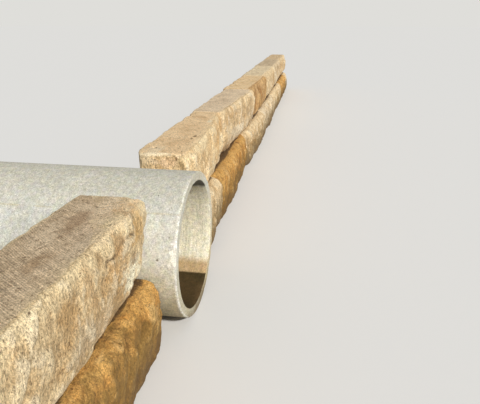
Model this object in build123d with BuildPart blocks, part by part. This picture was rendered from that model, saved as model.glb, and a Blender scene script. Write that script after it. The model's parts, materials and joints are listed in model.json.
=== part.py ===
from build123d import *
import os

os.makedirs("parts", exist_ok=True)

# Culvert headwall
#
# A precast concrete pipe stands out between two wings of large sandstone blocks, laid dry in two
# courses. X runs along the wall, the pipe lies along Y with its outlet facing -Y, and Z is up. The
# origin is the centre of the pipe's mouth. All sizes are in millimetres.

# Pipe
pipe_bore = 900.0
pipe_wall = 65.0
pipe_length = 2440.0
mouth_chamfer = 6.0          # outer arris of the plain end
joint_length = 60.0          # rebate at the back end, where the next length enters
joint_step = 32.0            # how far the rebate is cut into the wall

pipe_radius = pipe_bore / 2 + pipe_wall
floor_z = -pipe_radius       # the barrel and the lower course stand on one bed

# Courses
lower_height = 515.0
upper_height = 525.0
lower_depth = 480.0          # front to back
upper_depth = 450.0
log_length = 1980.0          # nominal length of a block
bond = 700.0                 # how far each joint below lies nearer the pipe than the one above
bite = 15.0                  # how far the block ends are hewn in round the barrel
shoulder_bite = 85.0         # the same for the right wing's upper block, which rides the shoulder

lower_z = floor_z
upper_z = lower_z + lower_height

# Blocks of the upper course, outwards from the pipe: how much longer than nominal each one is, and
# how far its face lies behind the plane of the outlet at four stations along it
left_upper = [
    (-30.0, (130.0, 141.0, 154.0, 156.0)),
    (60.0, (166.0, 150.0, 160.0, 154.0)),
    (0.0, (148.0, 155.0, 140.0, 152.0)),
]
right_upper = [
    (-140.0, (145.0, 158.0, 205.0, 262.0)),
    (-10.0, (236.0, 214.0, 184.0, 170.0)),
    (-50.0, (214.0, 206.0, 200.0, 198.0)),
    (80.0, (236.0, 222.0, 230.0, 238.0)),
    (100.0, (262.0, 250.0, 268.0, 280.0)),
    (20.0, (286.0, 278.0, 292.0, 298.0)),
]
# Faces of the lower course, at the same four stations
left_lower = [
    (90.0, 98.0, 96.0, 104.0),
    (112.0, 98.0, 110.0, 102.0),
    (96.0, 108.0, 100.0, 110.0),
    (108.0, 100.0, 104.0, 108.0),
]
right_lower = [
    (112.0, 100.0, 108.0, 122.0),
    (134.0, 128.0, 150.0, 164.0),
    (158.0, 146.0, 138.0, 140.0),
    (152.0, 160.0, 150.0, 166.0),
    (170.0, 184.0, 178.0, 190.0),
    (204.0, 196.0, 214.0, 220.0),
    (232.0, 226.0, 230.0, 238.0),
]

# The barrel's section plane; its circle starts at the crown, clear of the blocks
barrel_plane = Plane(origin=(0, 0, 0), x_dir=(0, 0, 1), z_dir=(0, -1, 0))

# How far the split face falls back at a block's upper and lower edge; the two courses leave a deep
# open joint between them
upper_top_arris = 34.0
upper_foot_arris = 90.0
lower_top_arris = 72.0
lower_foot_arris = 40.0
corner = 40.0                # how far the face falls back at a block's ends
corner_run = 60.0            # over which length

# Section of a split face, in shares of the block's height and of the fall at its arrises
belly_height = 0.52
shoulder_height = 0.88
shoulder_fall = 0.25
heel_height = 0.16
heel_fall = 0.22
# Inner stations of a block, in shares of its length
near_station = 0.36
far_station = 0.68


def face_section(x, z, height, face, back, top_arris, foot_arris):
    """One cross-section of a block at x: sawn bed, back and top, and a bellied split face."""
    with BuildSketch(Plane.YZ.offset(x)) as section:
        with BuildLine():
            Polyline((face + foot_arris, z), (back, z), (back, z + height), (face + top_arris, z + height))
            Spline(
                (face + top_arris, z + height),
                (face + shoulder_fall * top_arris, z + shoulder_height * height),
                (face, z + belly_height * height),
                (face + heel_fall * foot_arris, z + heel_height * height),
                (face + foot_arris, z),
            )
        make_face()
    return section.sketch


def hew_block(x_from, x_to, z, height, faces, depth, arrises, hewn_to_barrel):
    """A block lofted through sections along its length, its end cut to the barrel where they meet."""
    run = x_to - x_from
    turn = corner_run if run > 0 else -corner_run
    back = min(faces) + depth
    stations = [
        (x_from, faces[0] + corner),
        (x_from + turn, faces[0]),
        (x_from + near_station * run, faces[1]),
        (x_from + far_station * run, faces[2]),
        (x_to - turn, faces[3]),
        (x_to, faces[3] + corner),
    ]
    with BuildPart() as block:
        for x, face in stations:
            add(face_section(x, z, height, face, back, *arrises))
        loft(ruled=True)
        if hewn_to_barrel:
            with BuildSketch(barrel_plane):
                Circle(pipe_radius)
            extrude(amount=pipe_length, both=True, mode=Mode.SUBTRACT)
    return block


def lay_course(name, side, start, joints, z, height, faces, depth, arrises):
    """Lay the blocks of one course outwards from the pipe; side is -1 for left and 1 for right."""
    ends = [start] + joints
    for i, block_faces in enumerate(faces):
        block = hew_block(side * ends[i], side * ends[i + 1], z, height, block_faces, depth, arrises, i == 0)
        block.part.label = f"{name}_{i + 1}"
        export_step(block.part, f"parts/{name}_{i + 1}.step")


def joints_of(start, blocks):
    """Distances of the upper course's joints from the pipe's axis, the wing's end included."""
    joints = []
    for extra_length, _ in blocks:
        start += log_length + extra_length
        joints.append(start)
    return joints


# Wings
block_start = pipe_radius - bite
shoulder_start = pipe_radius - shoulder_bite

for side, name, start, blocks, lower_faces in (
    (-1, "left", block_start, left_upper, left_lower),
    (1, "right", shoulder_start, right_upper, right_lower),
):
    upper_joints = joints_of(start, blocks)
    lower_joints = [joint - bond for joint in upper_joints] + [upper_joints[-1]]
    lay_course(f"{name}_upper", side, start, upper_joints, upper_z, upper_height,
               [faces for _, faces in blocks], upper_depth, (upper_top_arris, upper_foot_arris))
    lay_course(f"{name}_lower", side, block_start, lower_joints, lower_z, lower_height,
               lower_faces, lower_depth, (lower_top_arris, lower_foot_arris))


# Pipe
with BuildPart() as concrete_pipe:
    with BuildSketch(Plane.XY) as wall_profile:
        with BuildLine():
            Polyline(
                (pipe_bore / 2, 0),
                (pipe_radius - mouth_chamfer, 0),
                (pipe_radius, mouth_chamfer),
                (pipe_radius, pipe_length),
                (pipe_bore / 2 + joint_step, pipe_length),
                (pipe_bore / 2 + joint_step, pipe_length - joint_length),
                (pipe_bore / 2, pipe_length - joint_length),
                close=True,
            )
        make_face()
    revolve(axis=Axis.Y)
concrete_pipe.part.label = "concrete_pipe"
export_step(concrete_pipe.part, "parts/concrete_pipe.step")
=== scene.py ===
"""The looks of the culvert headwall, built round its packed frame."""

# %% [markdown]
# A culvert headwall holds the earth back round the end of a drain under a road. Here a precast concrete
# pipe stands out between two wings of large sandstone blocks, laid dry in two courses. The frame gives
# every piece its place and its true size. What is left for this file is what the hand and the eye would
# notice: split faces, worn edges, saw marks, stains, and the light that shows them.

# %% Load the frame
import json
import math

import bpy
import numpy as np
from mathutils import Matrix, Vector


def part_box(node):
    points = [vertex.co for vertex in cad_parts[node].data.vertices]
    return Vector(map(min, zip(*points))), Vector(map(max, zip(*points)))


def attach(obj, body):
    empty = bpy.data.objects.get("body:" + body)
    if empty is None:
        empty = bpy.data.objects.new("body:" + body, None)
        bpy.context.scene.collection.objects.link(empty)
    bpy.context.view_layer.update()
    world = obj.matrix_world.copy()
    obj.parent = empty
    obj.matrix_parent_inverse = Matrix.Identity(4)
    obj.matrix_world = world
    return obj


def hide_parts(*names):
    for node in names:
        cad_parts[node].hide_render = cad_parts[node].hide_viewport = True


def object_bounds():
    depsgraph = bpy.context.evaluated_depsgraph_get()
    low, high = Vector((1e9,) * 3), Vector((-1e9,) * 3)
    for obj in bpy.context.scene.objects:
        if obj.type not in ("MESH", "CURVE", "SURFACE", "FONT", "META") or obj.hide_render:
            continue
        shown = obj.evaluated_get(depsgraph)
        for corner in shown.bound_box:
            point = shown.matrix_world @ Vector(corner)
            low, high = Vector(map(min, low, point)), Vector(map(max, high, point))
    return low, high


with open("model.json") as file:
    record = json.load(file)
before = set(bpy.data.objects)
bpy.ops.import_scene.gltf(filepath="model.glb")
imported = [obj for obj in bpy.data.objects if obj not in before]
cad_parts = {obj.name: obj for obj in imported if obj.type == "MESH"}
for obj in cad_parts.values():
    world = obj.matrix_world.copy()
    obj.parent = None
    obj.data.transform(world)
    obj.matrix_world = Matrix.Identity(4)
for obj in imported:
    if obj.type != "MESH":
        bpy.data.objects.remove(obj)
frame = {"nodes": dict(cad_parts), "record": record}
record = frame["record"]
slot_of = {row["node"]: row["material_slot"] for row in record["subparts"]}
cad_bounds = [[float(c) for c in corner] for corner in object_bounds()]
floor_z = cad_bounds[0][2]
print("frame:", len(frame["nodes"]), "nodes between", cad_bounds)

# %% [markdown]
# The camera stands where the photographer stood: on the bank in front of the left wing, with the eye
# almost 2 m above the wall's bed, looking along the wall. Its place and angle come from the two ellipses
# of the pipe's mouth, the barrel's outline and the point where the wall's lines meet.

# %% Camera
IMAGE_WIDTH = 480
FOCAL_LENGTH = 476.2         # in image points
EYE = (-2.964, -0.795, 1.474)
TURN = 9.283                 # from +X towards +Y, in degrees
DIP = 20.773                 # below level, in degrees
SENSOR_WIDTH = 36.0


def stand_camera():
    """An upright camera looks along +Y, so this one is tipped to 90 - DIP and turned by TURN - 90."""
    data = bpy.data.cameras.new("camera")
    data.sensor_width = SENSOR_WIDTH
    data.lens = SENSOR_WIDTH * FOCAL_LENGTH / IMAGE_WIDTH
    camera = bpy.data.objects.new("camera", data)
    camera.location = EYE
    camera.rotation_euler = (math.radians(90 - DIP), 0.0, math.radians(TURN - 90))
    bpy.context.scene.collection.objects.link(camera)
    bpy.context.scene.camera = camera
    return camera


camera = stand_camera()
print("camera: lens", round(camera.data.lens, 1), "mm")

# %% [markdown]
# Stone is irregular at every scale, so its shape comes from noise. Blender has noise textures for
# shading, but here the mesh itself is to be rough, so the same idea is written for numpy arrays: random
# numbers sit on the corners of a grid of cells, and every point blends the eight corners of its cell.
# Layers of finer and finer noise give a worn surface, folding the layers gives sharp crests, and small
# tilted planes side by side give the facets of a stone that was broken, not cut.

# %% Noise on arrays of points
LAYER_SHIFT = 17.3           # moves each finer layer along, so that the layers' cells never line up
CREST_SHIFT = 9.1
CRISP = 12.0                 # how sharply one facet goes over into the next


def corner_number(cell, seed):
    """One number from 0 to 1 per cell: indices and seed times large odd numbers, then their bits mixed."""
    mixed = cell[:, 0] * 374761393 + cell[:, 1] * 668265263 + cell[:, 2] * 1103515245 + seed * 144665
    mixed &= 0xFFFFFFFF
    mixed = ((mixed ^ (mixed >> 13)) * 1274126177) & 0xFFFFFFFF
    return ((mixed ^ (mixed >> 16)) & 0xFFFFFF) / float(0xFFFFFF)


def soft_noise(points, seed):
    """Noise from -1 to 1: the corner numbers of each unit cell, blended by 3t^2 - 2t^3 along each axis."""
    cell = np.floor(points).astype(np.int64)
    t = points - cell
    t = t * t * (3 - 2 * t)
    total = np.zeros(len(points))
    for corner in np.ndindex(2, 2, 2):
        weight = np.prod(np.where(corner, t, 1 - t), axis=1)
        total += weight * corner_number(cell + np.array(corner), seed)
    return 2 * total - 1


def layered(points, layers, seed):
    """Layers of soft noise, each twice as fine and half as strong, brought back to about -1 to 1."""
    total = sum(soft_noise(points * 2 ** k + LAYER_SHIFT * k, seed + k) / 2 ** k for k in range(layers))
    return total / (2 - 2 ** (1 - layers))


def three_layered(points, layers, seed):
    """Three layered noises with seeds of their own, as a shift along X, Y and Z."""
    return np.stack([layered(points, layers, seed + k) for k in range(3)], axis=1)


def crested(points, layers, seed):
    """Layered noise folded at zero, 1 - 2|n|: rounded hollows between sharp crests, from -1 to 1."""
    folds = (1 - 2 * abs(soft_noise(points * 2 ** k + CREST_SHIFT * k, seed + k)) for k in range(layers))
    return sum(fold / 2 ** k for k, fold in enumerate(folds)) / (2 - 2 ** (1 - layers))


def facets(points, seed):
    """A broken face: one tilted plane per cell round a random spot, blended by exp(-CRISP d^2)."""
    cell = np.floor(points).astype(np.int64)
    total, weight = np.zeros(len(points)), np.zeros(len(points))
    for step in np.ndindex(3, 3, 3):
        other = cell + np.array(step) - 1
        numbers = np.stack([corner_number(other, seed + k) for k in range(7)], axis=1)
        away = points - other - numbers[:, :3]
        share = np.exp(-CRISP * (away ** 2).sum(axis=1))
        total += share * (2 * numbers[:, 3] - 1 + ((2 * numbers[:, 4:] - 1) * away).sum(axis=1))
        weight += share
    return total / weight


def fade(low, high, value):
    """0 at low and 1 at high, and 3t^2 - 2t^3 between them; low may be the larger one."""
    t = np.clip((value - low) / (high - low), 0, 1)
    return t * t * (3 - 2 * t)


print("noise at one point:", round(float(layered(np.array([[0.3, 1.7, 2.2]]), 4, 1)[0]), 3))

# %% [markdown]
# Every new surface is worked out as arrays and put into its mesh in one go. Values that the shading
# needs, such as where a face was sawn and where it lies in a hollow, travel with the mesh as attributes.

# %% Arrays into a mesh
def make_piece(node, points, quads, attributes):
    """A smooth-shaded mesh object at the origin that stands for a node of the frame, whose part it hides."""
    mesh = bpy.data.meshes.new(node + "_skin")
    mesh.vertices.add(len(points))
    mesh.vertices.foreach_set("co", np.asarray(points, np.float32).ravel())
    mesh.loops.add(quads.size)
    mesh.loops.foreach_set("vertex_index", np.asarray(quads, np.int32).ravel())
    mesh.polygons.add(len(quads))
    mesh.polygons.foreach_set("loop_start", np.arange(0, quads.size, 4, dtype=np.int32))
    mesh.polygons.foreach_set("use_smooth", np.ones(len(quads), bool))
    mesh.update(calc_edges=True)
    for key, values in attributes.items():
        carried = mesh.attributes.new(key, "FLOAT", "POINT")
        carried.data.foreach_set("value", np.asarray(values, np.float32))
    piece = bpy.data.objects.new(node + "_skin", mesh)
    bpy.context.scene.collection.objects.link(piece)
    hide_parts(node)
    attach(piece, "root")
    return piece


def volume(points, quads):
    """Volume in a closed skin: a . (b x c) / 6 summed over its triangles, above 0 if faces point out."""
    a, b, c, d = (points[quads[:, k]] for k in range(4))
    six_fold = np.einsum("ij,ij->i", a, np.cross(b, c)) + np.einsum("ij,ij->i", a, np.cross(c, d))
    return float(six_fold.sum() / 6)


print("slots that the pieces take:", sorted(set(slot_of.values())))

# %% [markdown]
# A block begins as a box whose six sides are grids, welded along the edges. Its arrises are rounded by a
# radius that wanders along them, since no edge of quarried stone stays true. The front line of each
# block is read off its solid in the frame, so the rough skin follows the solid wherever it bends.

# %% A box of six welded grids
def box_of_grids(counts):
    """Six sides, functions of two whole numbers each; equal points are merged, and faces turn outwards."""
    sides, quads, start = [], [], 0
    for axis in range(3):
        u, v = (axis + 1) % 3, (axis + 2) % 3
        i, j = np.meshgrid(np.arange(counts[u] + 1), np.arange(counts[v] + 1), indexing="ij")
        for level, far_side in ((0, False), (counts[axis], True)):
            side = np.zeros(i.shape + (3,), int)
            side[..., axis], side[..., u], side[..., v] = level, i, j
            n = np.arange(i.size).reshape(i.shape) + start
            ring = np.stack([n[:-1, :-1], n[1:, :-1], n[1:, 1:], n[:-1, 1:]], axis=-1).reshape(-1, 4)
            quads.append(ring if far_side else ring[:, ::-1])
            sides.append(side.reshape(-1, 3))
            start += i.size
    points, index = np.unique(np.concatenate(sides), axis=0, return_inverse=True)
    return points, index.ravel()[np.concatenate(quads)]


print("a box of 2 by 1 by 1 cells has", len(box_of_grids((2, 1, 1))[1]), "faces")

# %% Sizes of arrises and ends
BARREL_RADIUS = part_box("concrete_pipe")[1][0]
HEWN_REACH = 0.42            # how far along a block the cut round the barrel bends it
ARRIS = 0.010                # radius of a block's worn edges
ARRIS_END = 0.016            # added to it near a block's ends
ARRIS_REACH = 0.14           # how near
ARRIS_VARY = 0.6             # how much this wear varies, as a share
BEVEL_WIDTH = 0.05           # worn strip along the top's front edge
BEVEL_DROP = 0.004
BEVEL_FROM = 0.7             # share of the block's height at which it begins
BELLY = 0.52                 # height of the foremost line, as a share of the block's
FOOT_CURVE = 3.6             # powers by which the face falls back from that line, down and up
TOP_CURVE = 4.4
CORNER_SHARE = 0.6           # how much of the solid's fall at a joint's corners is kept
FOOT_WANDER = 0.28           # how much the fall at the foot varies along a block
END_REACH = 0.30             # how far the pipe end's own front line is felt
FOOT_REACH = 0.20            # added to it at the foot
FOOT_HEIGHT = 0.30           # share of the block's height that counts as its foot
SECTION_HEIGHTS = 7          # a whole cross-section of a solid has more heights than this

# Front line of two blocks where they meet the barrel, as (z, y)
END_LINES = {
    "left_upper_1": (
        (0.0, 0.280), (0.06, 0.246), (0.123, 0.228), (0.206, 0.206), (0.30, 0.180), (0.366, 0.170),
        (0.43, 0.166), (0.498, 0.176), (0.525, 0.196)),
    "left_lower_1": (
        (-0.515, 0.130), (-0.25, 0.106), (-0.16, 0.101), (-0.08, 0.111), (-0.03, 0.132), (0.0, 0.168)),
}
# How much of the solid's fall at the foot is kept, and how far a back corner is rounded along X and Y
FOOT_SHARE = {"left_upper_1": 0.86, "left_lower_1": 0.8}
ROUNDED_BACK = {"right_upper_1": (0.13, 0.06)}
print("barrel radius", round(BARREL_RADIUS, 3), "m; blocks with an end line:", ", ".join(END_LINES))

# %% The front line of a block, off its solid
def front_lines(node):
    """Stations along X, with the foremost y there at the belly, at the top edge and at the foot."""
    mesh = frame["nodes"][node].data
    corners = np.zeros(len(mesh.vertices) * 3)
    mesh.vertices.foreach_get("co", corners)
    corners = corners.reshape(-1, 3)
    x, z = np.round(corners[:, 0], 3), corners[:, 2]
    edges = (z > z.max() - 1e-4, z < z.min() + 1e-4)
    whole = [s for s in np.unique(x) if np.unique(np.round(z[x == s], 4)).size > SECTION_HEIGHTS]
    lines = []
    for kept in (np.isin(x, whole), *edges):
        stations = np.unique(x[kept])
        front = np.array([corners[kept & (x == s), 1].min() for s in stations])
        front[0] = front[1] + CORNER_SHARE * (front[0] - front[1])
        front[-1] = front[-2] + CORNER_SHARE * (front[-1] - front[-2])
        lines.append((stations, front))
    return lines


def front_at(node, x, z, share, near_end, seed):
    """The foremost y at each point, and that of the belly.

    The face falls back from the belly by a power of the height, as the solid's does, and near the
    barrel it goes over to the end's own line.
    """
    (x_belly, belly), (x_top, top), (x_foot, foot) = front_lines(node)
    y_belly = np.interp(x, x_belly, belly)
    vary = 1 + FOOT_WANDER * layered(np.stack([x * 3.0, 0 * x, 0 * x + seed], axis=1), 3, seed + 3)
    foot_fall = FOOT_SHARE.get(node, 1.0) * vary * (np.interp(x, x_foot, foot) - y_belly)
    top_fall = np.interp(x, x_top, top) - y_belly
    y = y_belly + foot_fall * np.clip((BELLY - share) / BELLY, 0, 1) ** FOOT_CURVE
    y += top_fall * np.clip((share - BELLY) / (1 - BELLY), 0, 1) ** TOP_CURVE
    if node in END_LINES:
        end_z, end_y = np.array(END_LINES[node]).T
        reach = END_REACH + FOOT_REACH * fade(FOOT_HEIGHT, 0.0, share)
        y += fade(1.0, 0.0, abs(x - near_end) / reach) * (np.interp(z, end_z, end_y) - y)
    return y, y_belly


print("the belly of left_upper_1 at its stations:", front_lines("left_upper_1")[0][1].round(3))


# %% The true form of a block
def rounded_box(size, spacing, seed):
    """Points of a box with worn edges, and its form so far: faces, directions and distances.

    A box point p goes to q + r v/|v|, where q is p held at least r inside the box, v = p - q, and r
    wanders with noise: that rounds every arris.
    """
    counts = np.maximum(np.round(size / spacing).astype(int), 4)
    grid, quads = box_of_grids(counts)
    p = grid / counts * size
    from_low, from_high = p, size - p
    wander = layered((p + seed) * 5.0, 3, seed)
    r = ARRIS + ARRIS_END * fade(ARRIS_REACH, 0.0, np.minimum(from_low[:, 0], from_high[:, 0]))
    r *= 1 + ARRIS_VARY * wander
    q = np.clip(p, r[:, None], size - r[:, None])
    v = p - q
    outward = v / np.linalg.norm(v, axis=1)[:, None]
    form = {"quads": quads, "outward": outward, "wander": wander}
    form.update({"from_low": from_low, "from_high": from_high})
    return q + r[:, None] * outward, form


def round_back(p, size, pipe_at_low, reach):
    """Rounds the upright arris of back and pipe end: (u, v) on a square goes to (u, v) max / length."""
    from_end = p[:, 0] if pipe_at_low else size[0] - p[:, 0]
    u = np.clip(1 - from_end / reach[0], 0, 1)
    v = np.clip(1 - (size[1] - p[:, 1]) / reach[1], 0, 1)
    shrink = 1 - np.maximum(u, v) / np.maximum(np.hypot(u, v), 1e-9)
    p[:, 0] += reach[0] * u * shrink * (1 if pipe_at_low else -1)
    p[:, 1] -= reach[1] * v * shrink


def block_form(node, spacing, seed):
    """The true form of a block before its relief.

    Depth runs from the front line to the back. The top's front edge is worn down, and the end at the
    barrel is pushed back to the barrel's circle, which bends the block over HEWN_REACH.
    """
    low, high = (np.array(corner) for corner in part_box(node))
    size = high - low
    pipe_at_low = low[0] > 0
    near_end = low[0] if pipe_at_low else high[0]
    p, form = rounded_box(size, spacing, seed)
    if node in ROUNDED_BACK:
        round_back(p, size, pipe_at_low, ROUNDED_BACK[node])
    x, z, share = low[0] + p[:, 0], low[2] + p[:, 2], p[:, 2] / size[2]
    y_front, y_belly = front_at(node, x, z, share, near_end, seed)
    behind = p[:, 1] / size[1] * (high[1] - y_front)
    drop = BEVEL_DROP * (1 + ARRIS_VARY * form["wander"]) * fade(BEVEL_FROM, 1.0, share)
    z -= drop * np.clip(1 - behind / BEVEL_WIDTH, 0, 1) ** 2
    if abs(near_end) < BARREL_RADIUS:
        limit = np.maximum(abs(near_end), np.sqrt(np.clip(BARREL_RADIUS ** 2 - z ** 2, 0, None)))
        reach = np.clip(1 - abs(x - near_end) / HEWN_REACH, 0, 1)
        x += np.sign(near_end) * (limit - abs(near_end)) * reach
    y = y_front + behind
    return {**form, "points": np.stack([x, y, z], axis=1), "share": share, "behind": behind,
            "recessed": y - y_belly}


print("left_upper_1 on a coarse grid:", len(block_form("left_upper_1", 0.1, 1)["points"]), "points")

# %% [markdown]
# A sawn bed is nearly flat, but the front of such a block was split and then left to the weather. It broke
# in facets, the splitting left faint upright flutes, and grit lies over both. Each side moves along its
# own axis only, and its move fades out over the first centimetres of its neighbours, so that two sides
# never cross at the arris they share. All sides but the front move inwards only, so that no block grows
# into the next one. Where the photograph shows a dent, a crack or a ridge, it has its own place here.

# %% Relief of split and sawn sides
SWELL = 0.009
FLUTE = 0.0045
FACET = 0.0130
SMALL_FACET = 0.0055
GRIT = 0.0035
# How many cells each of these has per metre, along X, Y and Z
SWELL_CELLS = np.array([1.7, 2.0, 2.4])
FLUTE_CELLS = np.array([9.0, 7.0, 1.6])
FACET_CELLS = np.array([5.5, 5.5, 3.8])
SMALL_FACET_CELLS = np.array([15.0, 15.0, 10.0])
GRIT_CELLS = 34.0
LEAN = -0.2                  # the flutes' slant, along X for each metre of height
ROUGH_LOWER = 1.4            # the lower course was split more coarsely
SAWN_WAVE = 0.0016
JOINT_GAP = 0.0015           # beds and joints stay this far inside the solid
JOINT_WANDER = 0.004         # and up to this much further
OPEN_LOSS = 0.009            # how far broken ends and backs lie inside it on average
OPEN_MOST = 0.035            # and at most
SIDE_REACH = 0.07            # over which a side's move fades out round the corner
FRONT_REACH = 0.10           # the same for the split face
WING_ENDS = (cad_bounds[0][0], cad_bounds[1][0])


def split_relief(own, seed, layers, rough):
    """How far the split face stands out, in metres, and its hollows from about -1 to crests at 1."""
    leaned = own + 0.04 * three_layered(own * 5.0, 2, seed + 30)
    leaned[:, 0] += LEAN * own[:, 2]
    swell = layered(own * SWELL_CELLS, 2, seed)
    flute = crested(leaned * FLUTE_CELLS, 2, seed + 5)
    broad = facets(leaned * FACET_CELLS, seed + 11)
    small = facets(leaned * SMALL_FACET_CELLS, seed + 19)
    grit = layered(own * GRIT_CELLS, layers, seed + 27)
    out = SWELL * swell + FLUTE * flute + rough * (FACET * broad + SMALL_FACET * small) + GRIT * grit
    return out, 0.2 * swell + 0.3 * flute + 0.5 * broad + 0.45 * small + 0.35 * grit


def is_open(x):
    """Whether a block's end at x meets no other block: at the end of a wing, or at the barrel."""
    return min(abs(x - wing) for wing in WING_ENDS) < 0.05 or abs(x) < BARREL_RADIUS + 0.02


def inward_moves(form, own, out, seed):
    """Moves in X, Y and Z: sawn beds and closed joints a hair inwards, broken ends and backs further."""
    low, high = fade(SIDE_REACH, 0.0, form["from_low"]), fade(SIDE_REACH, 0.0, form["from_high"])
    closed = JOINT_GAP + JOINT_WANDER * (0.5 + 0.5 * layered(own * 7.0, 3, seed + 23))
    broken = np.clip(OPEN_LOSS - 0.8 * out, JOINT_GAP, OPEN_MOST)
    sawn = 0.4 * JOINT_GAP + SAWN_WAVE * (0.5 + 0.5 * layered(own * 6.0, 3, seed + 29))
    x = form["points"][:, 0]
    at_low, at_high = (broken if is_open(end) else closed for end in (x.min(), x.max()))
    move = np.zeros_like(own)
    move[:, 0] = at_low * low[:, 0] - at_high * high[:, 0]
    move[:, 1] = -out * fade(FRONT_REACH, 0.0, form["from_low"][:, 1]) - broken * high[:, 1]
    move[:, 2] = sawn * (low[:, 2] - high[:, 2])
    return move


print("open ends at the wings' ends and the barrel:", [is_open(x) for x in (*WING_ENDS, BARREL_RADIUS)])

# %% Places of dents, cracks and ridges
# Dents and holes seen on some blocks: x, y, z, radius and depth
DENTS = {
    "left_upper_1": [(-0.83, 0.455, 0.525, 0.030, 0.010), (-1.228, 0.366, 0.525, 0.016, 0.006),
                     (-1.364, 0.340, 0.525, 0.020, 0.007), (-0.94, 0.150, 0.36, 0.060, 0.012),
                     (-0.79, 0.150, 0.27, 0.045, 0.012), (-1.37, 0.150, 0.16, 0.050, 0.010),
                     (-0.79, 0.140, 0.11, 0.100, 0.030)],
    "right_upper_1": [(0.63, 0.492, 0.525, 0.022, 0.020), (0.98, 0.275, 0.525, 0.022, 0.012),
                      (1.06, 0.262, 0.525, 0.018, 0.010), (0.43, 0.150, 0.525, 0.100, 0.036),
                      (0.43, 0.250, 0.42, 0.040, 0.020)],
}
# Cracks and ridges, as side, half width, depth (below 0 for a ridge) and path on that side
LINES = {
    "left_upper_1": [
        ("front", 0.010, 0.012, ((-1.11, 0.400), (-1.095, 0.415), (-1.04, 0.402), (-0.967, 0.404))),
        ("front", 0.009, 0.007, ((-0.925, 0.43), (-0.87, 0.438), (-0.80, 0.43), (-0.76, 0.47))),
        ("front", 0.009, 0.008, ((-0.725, 0.515), (-0.705, 0.485), (-0.70, 0.44), (-0.73, 0.41))),
        ("front", 0.009, -0.005, ((-1.405, 0.33), (-1.42, 0.24), (-1.455, 0.12))),
        ("front", 0.008, -0.004, ((-1.36, 0.29), (-1.365, 0.25), (-1.342, 0.205))),
        ("top", 0.009, 0.007, ((-0.60, 0.50), (-0.621, 0.481), (-0.644, 0.422), (-0.70, 0.362))),
    ],
    "right_upper_1": [("end", 0.009, 0.008, ((0.285, 0.51), (0.262, 0.48), (0.270, 0.45), (0.25, 0.42)))],
}
SIDE_AXES = {"front": (0, 2), "top": (0, 1), "end": (1, 2)}
SIDE_FACING = {"front": (0, -1, 0), "top": (0, 0, 1), "end": (-1, 0, 0)}
print("dents:", {node: len(rows) for node, rows in DENTS.items()})
print("cracks and ridges:", {node: len(rows) for node, rows in LINES.items()})

# %% Chips, dents, cracks and ridges
CHIP = 0.014
CHIP_REACH = 0.05            # how far from an arris it can chip
CHIP_CELLS = np.array([8.0, 8.0, 5.5])
# dents under SMALL_DENT are painted dark inside, as shade in a small hole
SMALL_DENT = 0.05            # dents under this radius are dark inside


def chips(form, own, seed):
    """Moves where arrises broke off, and how much: a side goes inwards as far as another one is close."""
    low, high = fade(CHIP_REACH, 0.0, form["from_low"]), fade(CHIP_REACH, 0.0, form["from_high"])
    chipped = fade(0.10, 0.65, layered(own * CHIP_CELLS, 3, seed + 41))[:, None]
    close = low + high
    others = np.clip(close.sum(axis=1, keepdims=True) - close, 0, 1)
    return CHIP * chipped * others * (low - high), (chipped * others * close).max(axis=1)


def dents(node, form, own, seed):
    """Moves into the dents seen on a block, exp(-d^2 / radius^2) deep, and how dark the small ones are
    painted, as their shade.
    """
    moves, dark = np.zeros_like(own), np.zeros(len(own))
    for x, y, z, radius, depth in DENTS.get(node, []):
        away = np.linalg.norm(form["points"] - np.array([x, y, z]), axis=1) / radius
        dent = np.exp(-away ** 2) * (0.75 + 0.5 * layered(own * 30.0, 2, seed))
        moves -= depth * dent[:, None] * form["outward"]
        dark += 1.2 * dent * (radius < SMALL_DENT)
    return moves, dark


def off_path(flat, path):
    """Distance from points on a side to the nearest of a path's straight runs."""
    nearest = np.full(len(flat), np.inf)
    for a, b in zip(np.array(path[:-1]), np.array(path[1:])):
        along = np.clip((flat - a) @ (b - a) / ((b - a) @ (b - a)), 0, 1)
        nearest = np.minimum(nearest, np.linalg.norm(flat - a - along[:, None] * (b - a), axis=1))
    return nearest


def cracks_and_ridges(node, form, own, seed):
    """Moves along the lines seen on a block, exp(-d^2 / width^2) deep, and where they run: ridges < 0."""
    moves, line = np.zeros_like(own), np.zeros(len(own))
    shaken = form["points"] + 0.011 * three_layered(own * 26.0, 3, seed + 60)
    for side, half_width, depth, path in LINES.get(node, []):
        facing = fade(0.1, 0.5, form["outward"] @ np.array(SIDE_FACING[side]))
        carved = facing * np.exp(-(off_path(shaken[:, SIDE_AXES[side]], path) / half_width) ** 2)
        carved *= 0.7 + 0.5 * layered(own * 18.0, 2, seed + 67)
        moves -= depth * carved[:, None] * form["outward"]
        line += np.sign(depth) * carved
    return moves, line


def block_relief(node, form, spacing, seed):
    """Each point's move, its hollow from -1 to 1, how much of an arris has chipped off, and its lines."""
    own = form["points"] + seed * np.array([3.7, 1.3, 2.1])
    layers = 1 + (spacing < 0.016) + (spacing < 0.012)
    out, hollow = split_relief(own, seed, layers, ROUGH_LOWER if "lower" in node else 1.0)
    chip_moves, chip = chips(form, own, seed)
    dent_moves, dark = dents(node, form, own, seed)
    line_moves, line = cracks_and_ridges(node, form, own, seed)
    move = inward_moves(form, own, out, seed) + chip_moves + dent_moves + line_moves
    return move, np.clip(hollow - dark, -1, 1), chip, line


print("a point 3 above a path lies", off_path(np.array([[1, 3]]), ((0, 0), (2, 0)))[0], "away from it")

# %% What the shading needs to know of a block
ROUGH_WEDGE = {"left_upper_1": (-1.15, 0.17, 0.46)}  # x, y and slope of the line where the saw left the top
FRAYED = {"upper": 0.013, "lower": 0.075}            # the broken strip behind the top's front edge


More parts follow.
